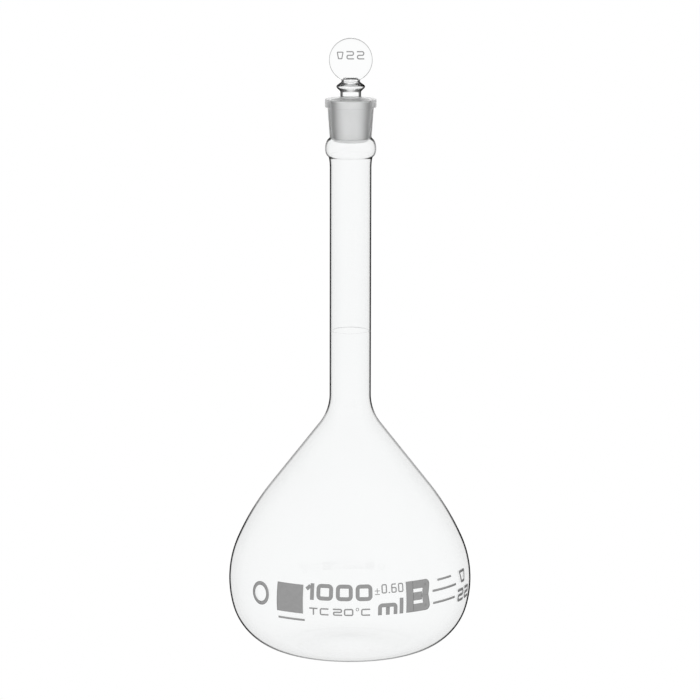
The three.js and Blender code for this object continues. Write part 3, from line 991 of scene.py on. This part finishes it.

# %% [markdown]
# ## The outline of the flat grip
# The grip isn't turned, so the radius from the axis says nothing about its outline. Seen from the front its
# outline is a circle of its own, and the depth for the painted dark line is measured inwards from that.

# %% Grip outline
GRIP_LINE_START = 1.7
GRIP_LINE_INSET = 0.4
GRIP_LINE_LEAD = 0.2


def grip_depth(new, link, split, start):
    """Depth from the round outline of the grip, plus a start; far too deep to count below the grip."""
    calculate = arithmetic(new, link)
    x, z = split.outputs["X"], split.outputs["Z"]
    above = calculate("SUBTRACT", z, grip_centre * MM)
    squares = calculate("ADD", calculate("MULTIPLY", x, x), calculate("MULTIPLY", above, above))
    out = calculate("SQRT", squares)
    below = calculate("LESS_THAN", z, (waist + GRIP_LINE_START) * MM)
    return calculate("ADD", calculate("SUBTRACT", (GRIP_RADIUS + start - GRIP_LINE_INSET) * MM, out), below)


print("the grip's own line starts", GRIP_LINE_START, "mm above the waist")

# %% [markdown]
# ## A painted dark line and a faint painted shade
# Near the outline the glass is painted darkest, and from there a faint painted shade spreads inwards over
# the base colour. Both are masks over the surface. The painted line works on the coat, which darkens what is
# mirrored and what passes, all at once.

# %% Painted line and shade
LINE_FADES_FROM, LINE_GONE_AT = 0.68, 0.85


def painted_outline_shade(new, link, line_start, line_end, painted_shade_end, painted_shade_dark, strength, grip_line=False):
    """Two masks of painted shade: the dark line along the outline, 1 on it, and the wide faint shade, a
    factor
    below 1. Both are for the eye alone: light that passes on its way through other glass keeps its strength."""
    calculate = arithmetic(new, link)
    place, split = new("ShaderNodeTexCoord"), new("ShaderNodeSeparateXYZ")
    link(place.outputs["Object"], split.inputs[0])
    x_squared = calculate("MULTIPLY", split.outputs["X"], split.outputs["X"])
    y_squared = calculate("MULTIPLY", split.outputs["Y"], split.outputs["Y"])
    radius = calculate("SQRT", calculate("ADD", x_squared, y_squared))
    cosine = squareness(new, link)
    sine = calculate("SQRT", calculate("SUBTRACT", 1.0, calculate("MULTIPLY", cosine, cosine)))
    depth = calculate("MULTIPLY", radius, calculate("SUBTRACT", 1.0, sine))
    if grip_line:
        on_grip = calculate("GREATER_THAN", split.outputs["Z"], (waist + GRIP_LINE_START) * MM)
        depth = calculate("ADD", depth, on_grip)
        depth = calculate("MINIMUM", depth, grip_depth(new, link, split, line_start + GRIP_LINE_LEAD))
    eye = new("ShaderNodeLightPath").outputs["Is Camera Ray"]
    turned_away = eased(new, link, cosine, LINE_FADES_FROM, LINE_GONE_AT, 1.0, 0.0)
    seen_edge = calculate("MULTIPLY", eye, turned_away)
    # Painted shade: a dark line along the visible outline and a faint shade inside it, for the eye alone.
    painted_line_mask = eased(new, link, depth, line_start * MM, line_end * MM, 1.0, 0.0)
    faint_painted_shade = eased(new, link, depth, 0.0, painted_shade_end * MM, painted_shade_dark, 1.0)
    faint_painted_shade = calculate("MAXIMUM", faint_painted_shade, calculate("SUBTRACT", 1.0, eye))
    painted_line_mask = calculate("MULTIPLY", painted_line_mask, strength(new, link, split, radius))
    return calculate("MULTIPLY", painted_line_mask, seen_edge), faint_painted_shade


print("the line is gone where the glass turns to the eye by a cosine of", LINE_GONE_AT)

# %% [markdown]
# ## How strong the painted line is along the glass
# The painted dark line isn't equally dark all the way. Where the glass leans to the light it is weaker, and
# on the thick bead and the crown the shape itself draws the edge, so the mask is off there.

# %% Line strength
CONE_LINE, CONE_FROM, BELLY_FROM = 0.5, 42, 60
NECK_LINE_TO, NECK_LINE_GONE = 11.2, 16
BEAD_FADE, SLEEVE_FADE, SLEEVE_LINE = 1, 1.5, 0.35
GRIP_TOP_LINE = 0.4
CROWN_LINE_START, CROWN_LINE_END = -0.2, 0.8


def blown_strength(new, link, split, radius):
    """The painted dark line is strongest at the belly and on the neck, weaker on the cone and under the
    foot, where the glass leans, weak on the sleeve round the ground joint, and off on the thick bead."""
    calculate = arithmetic(new, link)
    belly = eased(new, link, radius, CONE_FROM * MM, BELLY_FROM * MM, CONE_LINE, 1.0)
    neck = eased(new, link, radius, NECK_LINE_TO * MM, NECK_LINE_GONE * MM, 1.0, 0.0)
    bead_bottom = (RIM - BEAD_HEIGHT) * MM
    sleeve_from, sleeve_to = joint_bottom * MM, (joint_bottom + SLEEVE_FADE) * MM
    bead = eased(new, link, split.outputs["Z"], bead_bottom - BEAD_FADE * MM, bead_bottom, 1.0, 0.0)
    sleeve = eased(new, link, split.outputs["Z"], sleeve_from, sleeve_to, 1.0, SLEEVE_LINE)
    below = calculate("MAXIMUM", belly, neck)
    return calculate("MULTIPLY", below, calculate("MULTIPLY", bead, sleeve))


def solid_strength(new, link, split, radius):
    """The stem and knop carry the full painted line; it is off on the crown and fades up the grip."""
    calculate = arithmetic(new, link)
    line_from, line_full = (crown + CROWN_LINE_START) * MM, (crown + CROWN_LINE_END) * MM
    up = eased(new, link, split.outputs["Z"], waist * MM, grip_top * MM, 1.0, GRIP_TOP_LINE)
    stem = eased(new, link, split.outputs["Z"], line_from, line_full, 0.0, 1.0)
    return calculate("MULTIPLY", up, stem)


def shaded(new, link, colour, shade):
    """A colour multiplied by a value."""
    node = new("ShaderNodeVectorMath")
    node.operation = "SCALE"
    link(colour, node.inputs[0])
    link(shade, node.inputs["Scale"])
    return node.outputs[0]


print("on the sleeve the line has", SLEEVE_LINE, "of its strength")

# %% [markdown]
# ## Clear glass
# Borosilicate bends light a little less than window glass: its index is 1.47. The clear faces keep a faint
# slow wave. The blown flask and the solid stopper are the same glass; what differs is their painted dark
# line and painted shade, which are wider or narrower with the thickness behind them.

# %% Clear glass
GLASS_INDEX = 1.47
# Widths and darkness of the painted dark line and painted shade, for thin blown glass and the solid stopper.
BLOWN = {"line_start": 0.5, "line_end": 1.1, "painted_shade_end": 8, "painted_shade_dark": 0.9, "strength": blown_strength}
SOLID = {"line_start": 1.0, "line_end": 1.6, "painted_shade_end": 3, "painted_shade_dark": 0.95, "strength": solid_strength,
         "grip_line": True}
PAINTED_LINE_TINT = (0.4, 0.4, 0.4, 1)


def clear_glass(name, outline):
    """Clear glass: a slow wave in colour, roughness and normal, under the painted dark line and painted
    shade.
    """
    material, shader, new, link = new_material(name)
    wave = add_unevenness(new, slow=22, fine=240, share=0.15, stretch=(1, 1, 0.35))
    tint = tinted(new, link, wave, (0.97, 0.975, 0.975, 1), (0.982, 0.987, 0.987, 1))
    painted_line_mask, faint_painted_shade = painted_outline_shade(new, link, **outline)
    # Painted shade: the base colour is darkened near the outline for the eye, and a dark coat paints the
    # line.
    link(shaded(new, link, tint, faint_painted_shade), shader.inputs["Base Color"])
    link(painted_line_mask, shader.inputs["Coat Weight"])
    shader.inputs["Coat Tint"].default_value = PAINTED_LINE_TINT
    shader.inputs["Coat IOR"].default_value = 1.0
    link(ranged(new, link, wave, low=0.0, high=0.012), shader.inputs["Roughness"])
    link(bumped(new, link, wave, depth=0.00004, strength=0.15), shader.inputs["Normal"])
    shader.inputs["IOR"].default_value = GLASS_INDEX
    shader.inputs["Transmission Weight"].default_value = 1.0
    return material


CLEAR = clear_glass("clear_borosilicate", BLOWN)
SOLID_CLEAR = clear_glass("clear_borosilicate_solid", SOLID)
print("clear glass", CLEAR.name, "and", SOLID_CLEAR.name)

# %% [markdown]
# ## Ground glass
# The joint is ground with wet grit while it turns, which leaves a matt skin with fine rings, so its noise is
# squeezed along the axis. Part of the light comes back from the matt skin instead of passing. The sides of
# the taper get painted shade, darker where they turn away from the eye, but only on the first rays: deeper
# ones would darken the joint again and again.

# %% Ground glass
GROUND_PAINTED_SHADE = {"start": 0.78, "end": 1.0, "low": 0.14, "high": 1.0}
GROUND_PASSES = 0.6
FIRST_RAYS = 1.5


def ground_glass():
    """Matt glass: rough noise in fine rings, with painted shade where it turns away from the eye."""
    material, shader, new, link = new_material("ground_borosilicate")
    grit = add_unevenness(new, slow=300, fine=2600, share=0.5, stretch=(1, 1, 5))
    tint = tinted(new, link, grit, (0.96, 0.965, 0.965, 1), (0.995, 0.995, 0.995, 1))
    calculate = arithmetic(new, link)
    deep = calculate("GREATER_THAN", new("ShaderNodeLightPath").outputs["Ray Depth"], FIRST_RAYS)
    # Painted shade: the colour darkens where the taper turns away from the eye, on the first rays only.
    painted_side_shade = calculate("MAXIMUM", eased(new, link, squareness(new, link), **GROUND_PAINTED_SHADE), deep)
    link(shaded(new, link, tint, painted_side_shade), shader.inputs["Base Color"])
    link(ranged(new, link, grit, low=0.35, high=0.5), shader.inputs["Roughness"])
    link(bumped(new, link, grit, depth=0.00003, strength=0.4), shader.inputs["Normal"])
    shader.inputs["IOR"].default_value = GLASS_INDEX
    shader.inputs["Transmission Weight"].default_value = GROUND_PASSES
    return material


GROUND = ground_glass()
print("ground glass lets", GROUND_PASSES, "of the light through")

# %% [markdown]
# ## Fired enamel
# The ink is glass powder and pigment that melt on. It stays a little grainy and nearly matt, and shade is
# painted into its colour where it turns away round the bulb. The ring mark is the same ink in a thinner,
# paler film.

# %% Fired enamel
ENAMEL_PAINTED_SHADE = {"start": 0.3, "end": 0.7, "low": 0.45, "high": 1.0}
ENAMEL_SHINE = 0.15


def fired_enamel(name, dark, light):
    """Nearly matt enamel with a fine speckle between a dark and a light grey, and painted shade where it
    turns away from the eye.
    """
    material, shader, new, link = new_material(name)
    speckle = add_unevenness(new, slow=500, fine=5000, share=0.5)
    # Painted shade: the enamel colour darkens where it turns away from the eye.
    painted_side_shade = eased(new, link, squareness(new, link), **ENAMEL_PAINTED_SHADE)
    link(shaded(new, link, tinted(new, link, speckle, dark, light), painted_side_shade), shader.inputs["Base Color"])
    shader.inputs["Specular IOR Level"].default_value = ENAMEL_SHINE
    link(ranged(new, link, speckle, low=0.45, high=0.65), shader.inputs["Roughness"])
    link(bumped(new, link, speckle, depth=0.00001, strength=0.3), shader.inputs["Normal"])
    return material


ENAMEL = fired_enamel("fired_enamel", (0.205, 0.205, 0.205, 1), (0.235, 0.235, 0.235, 1))
MARK = fired_enamel("mark_enamel", (0.63, 0.63, 0.63, 1), (0.68, 0.68, 0.68, 1))
print("enamels", ENAMEL.name, "and", MARK.name)

# %% [markdown]
# ## Which faces are ground
# The grinding reaches only the taper: inside the socket and outside the plug. Both pieces are one skin
# each, so the matt glass is given to faces by where they are: on the taper, between the two ends of the
# joint. On the plug it also covers the short tip below the taper; the tip's flat end stays clear.

# %% Assign materials
TAPER_REACH = 0.5
CLEAR_TIP = 0.3


def ground_faces(piece, lowest):
    """Gives the ground glass to the faces that lie on the taper, from the lowest height to its top."""
    mesh = piece.data
    centres = np.empty(len(mesh.polygons) * 3)
    mesh.polygons.foreach_get("center", centres)
    centres = centres.reshape(-1, 3) / MM
    radius = np.hypot(centres[:, 0], centres[:, 1])
    between = (centres[:, 2] > lowest) & (centres[:, 2] < joint_top)
    taper_radius = taper(centres[:, 2])[0]
    ground = between & (np.abs(radius - taper_radius) < TAPER_REACH)
    mesh.polygons.foreach_set("material_index", ground.astype(np.int32))
    mesh.update()
    return int(ground.sum())


GLASS_SKINS = ((flask_glass, CLEAR, joint_bottom), (stopper_glass, SOLID_CLEAR, tip + CLEAR_TIP))
for piece, clear, lowest in GLASS_SKINS:
    piece.data.materials.append(clear)
    piece.data.materials.append(GROUND)
    print(piece.name, "has", ground_faces(piece, lowest), "ground faces")

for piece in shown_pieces():
    if not piece.data.materials:
        piece.data.materials.append(MARK if piece is ring_mark else ENAMEL)

# %% [markdown]
# ## A studio for glass
# Clear glass in front of white is lit from behind: the wall and the table glow, the rest of the room is
# left dim. Light that passes straight through arrives white. Light that a skin of glass throws back has come
# from the dim room, so every reflection reads a little darker than what lies behind it. Here the room asks
# how a ray got to it, and that gives the same even studio from every side of the flask.

# %% World
LIT, DIM, FRONT = 1.01, 0.86, 0.45


def glow_strength(new, link):
    """1 for the bare backdrop, LIT for light that only passed through glass, DIM once it was thrown back.
    A matt surface also gathers the soft light from the front of the studio, FRONT on top."""
    calculate = arithmetic(new, link)
    rays = new("ShaderNodeLightPath")
    thrown_back = calculate("MINIMUM", rays.outputs["Glossy Depth"], 1.0)
    scattered = calculate("MINIMUM", rays.outputs["Diffuse Depth"], 1.0)
    passed = calculate("SUBTRACT", LIT, calculate("MULTIPLY", thrown_back, LIT - DIM))
    passed = calculate("ADD", passed, calculate("MULTIPLY", scattered, FRONT))
    eye = rays.outputs["Is Camera Ray"]
    return calculate("ADD", eye, calculate("MULTIPLY", passed, calculate("SUBTRACT", 1.0, eye)))


def build_world():
    """A white room whose strength follows glow_strength."""
    world = bpy.data.worlds.new("studio")
    bpy.context.scene.world = world
    world.use_nodes = True
    tree = world.node_tree
    background = tree.nodes["Background"]
    tree.links.new(glow_strength(tree.nodes.new, tree.links.new), background.inputs["Strength"])
    background.inputs["Color"].default_value = (1, 1, 1, 1)


build_world()
print("passed light", LIT, "thrown back", DIM)

# %% [markdown]
# ## The floor
# The floor is a round white sheet that glows like a light table, so it has no horizon and throws no shadow.
# It follows the same rule as the room, and the foot of the flask keeps its dark outline.

# %% Floor
FLOOR_RADIUS = 0.2
FLOOR_DROP = 0.0002
FLOOR_CORNERS = 96


def build_floor():
    """One flat round face just under the foot: the cosine and the sine of each corner's turn."""
    turn = np.linspace(0, 2 * np.pi, FLOOR_CORNERS, endpoint=False)
    edge = np.stack([FLOOR_RADIUS * np.cos(turn), FLOOR_RADIUS * np.sin(turn), 0 * turn - FLOOR_DROP], 1)
    mesh = bpy.data.meshes.new("floor")
    mesh.from_pydata(edge.tolist(), [], [list(range(len(turn)))])
    floor = bpy.data.objects.new("floor", mesh)
    bpy.context.scene.collection.objects.link(floor)
    material = bpy.data.materials.new("light_table")
    material.use_nodes = True
    nodes, link = material.node_tree.nodes, material.node_tree.links.new
    glow = nodes.new("ShaderNodeEmission")
    link(glow_strength(nodes.new, link), glow.inputs["Strength"])
    link(glow.outputs[0], nodes["Material Output"].inputs["Surface"])
    mesh.materials.append(material)


build_floor()
print("floor", 2 * FLOOR_RADIUS, "m across")

# %% [markdown]
# ## The camera
# A long lens from two metres away, a little above the flask, keeps the neck straight and lets the eye look
# slightly down on the rim and the foot.

# %% Camera
CAMERA_PLACE = Vector((0, -1.9585, 0.5063))
CAMERA_AIM = Vector((0, 0, 0.16175))
CAMERA_ROLL = 0.105
CAMERA_LENS, CAMERA_SENSOR, CAMERA_SHIFT, CAMERA_RANGE = 191.9, 36, -0.0004, 20
camera_data = bpy.data.cameras.new("camera")
camera_data.lens = CAMERA_LENS
camera_data.sensor_width = CAMERA_SENSOR
camera_data.shift_x = CAMERA_SHIFT
camera_data.clip_end = CAMERA_RANGE
camera = bpy.data.objects.new("camera", camera_data)
bpy.context.scene.collection.objects.link(camera)
camera.location = CAMERA_PLACE
level = (CAMERA_AIM - CAMERA_PLACE).to_track_quat("-Z", "Y")
camera.rotation_euler = (level @ Quaternion((0, 0, 1), np.radians(CAMERA_ROLL))).to_euler()
bpy.context.scene.camera = camera
print("camera", round((CAMERA_AIM - CAMERA_PLACE).length, 2), "m from the flask")

# %% [markdown]
# ## Colour and bounces
# Standard colour keeps white at white. Light crosses a dozen skins of glass on its way through flask and
# stopper, and scatters again and again in the ground joint. Cut short it would turn grey there, so every
# kind of bounce is allowed far more often than that.

# %% Render settings that belong to the look
BOUNCES = 32
scene = bpy.context.scene
scene.view_settings.view_transform = "Standard"
scene.cycles.max_bounces = BOUNCES
scene.cycles.transmission_bounces = BOUNCES
scene.cycles.glossy_bounces = BOUNCES
scene.cycles.diffuse_bounces = BOUNCES
scene.cycles.caustics_reflective = True
scene.cycles.caustics_refractive = True
print("bounces", BOUNCES)
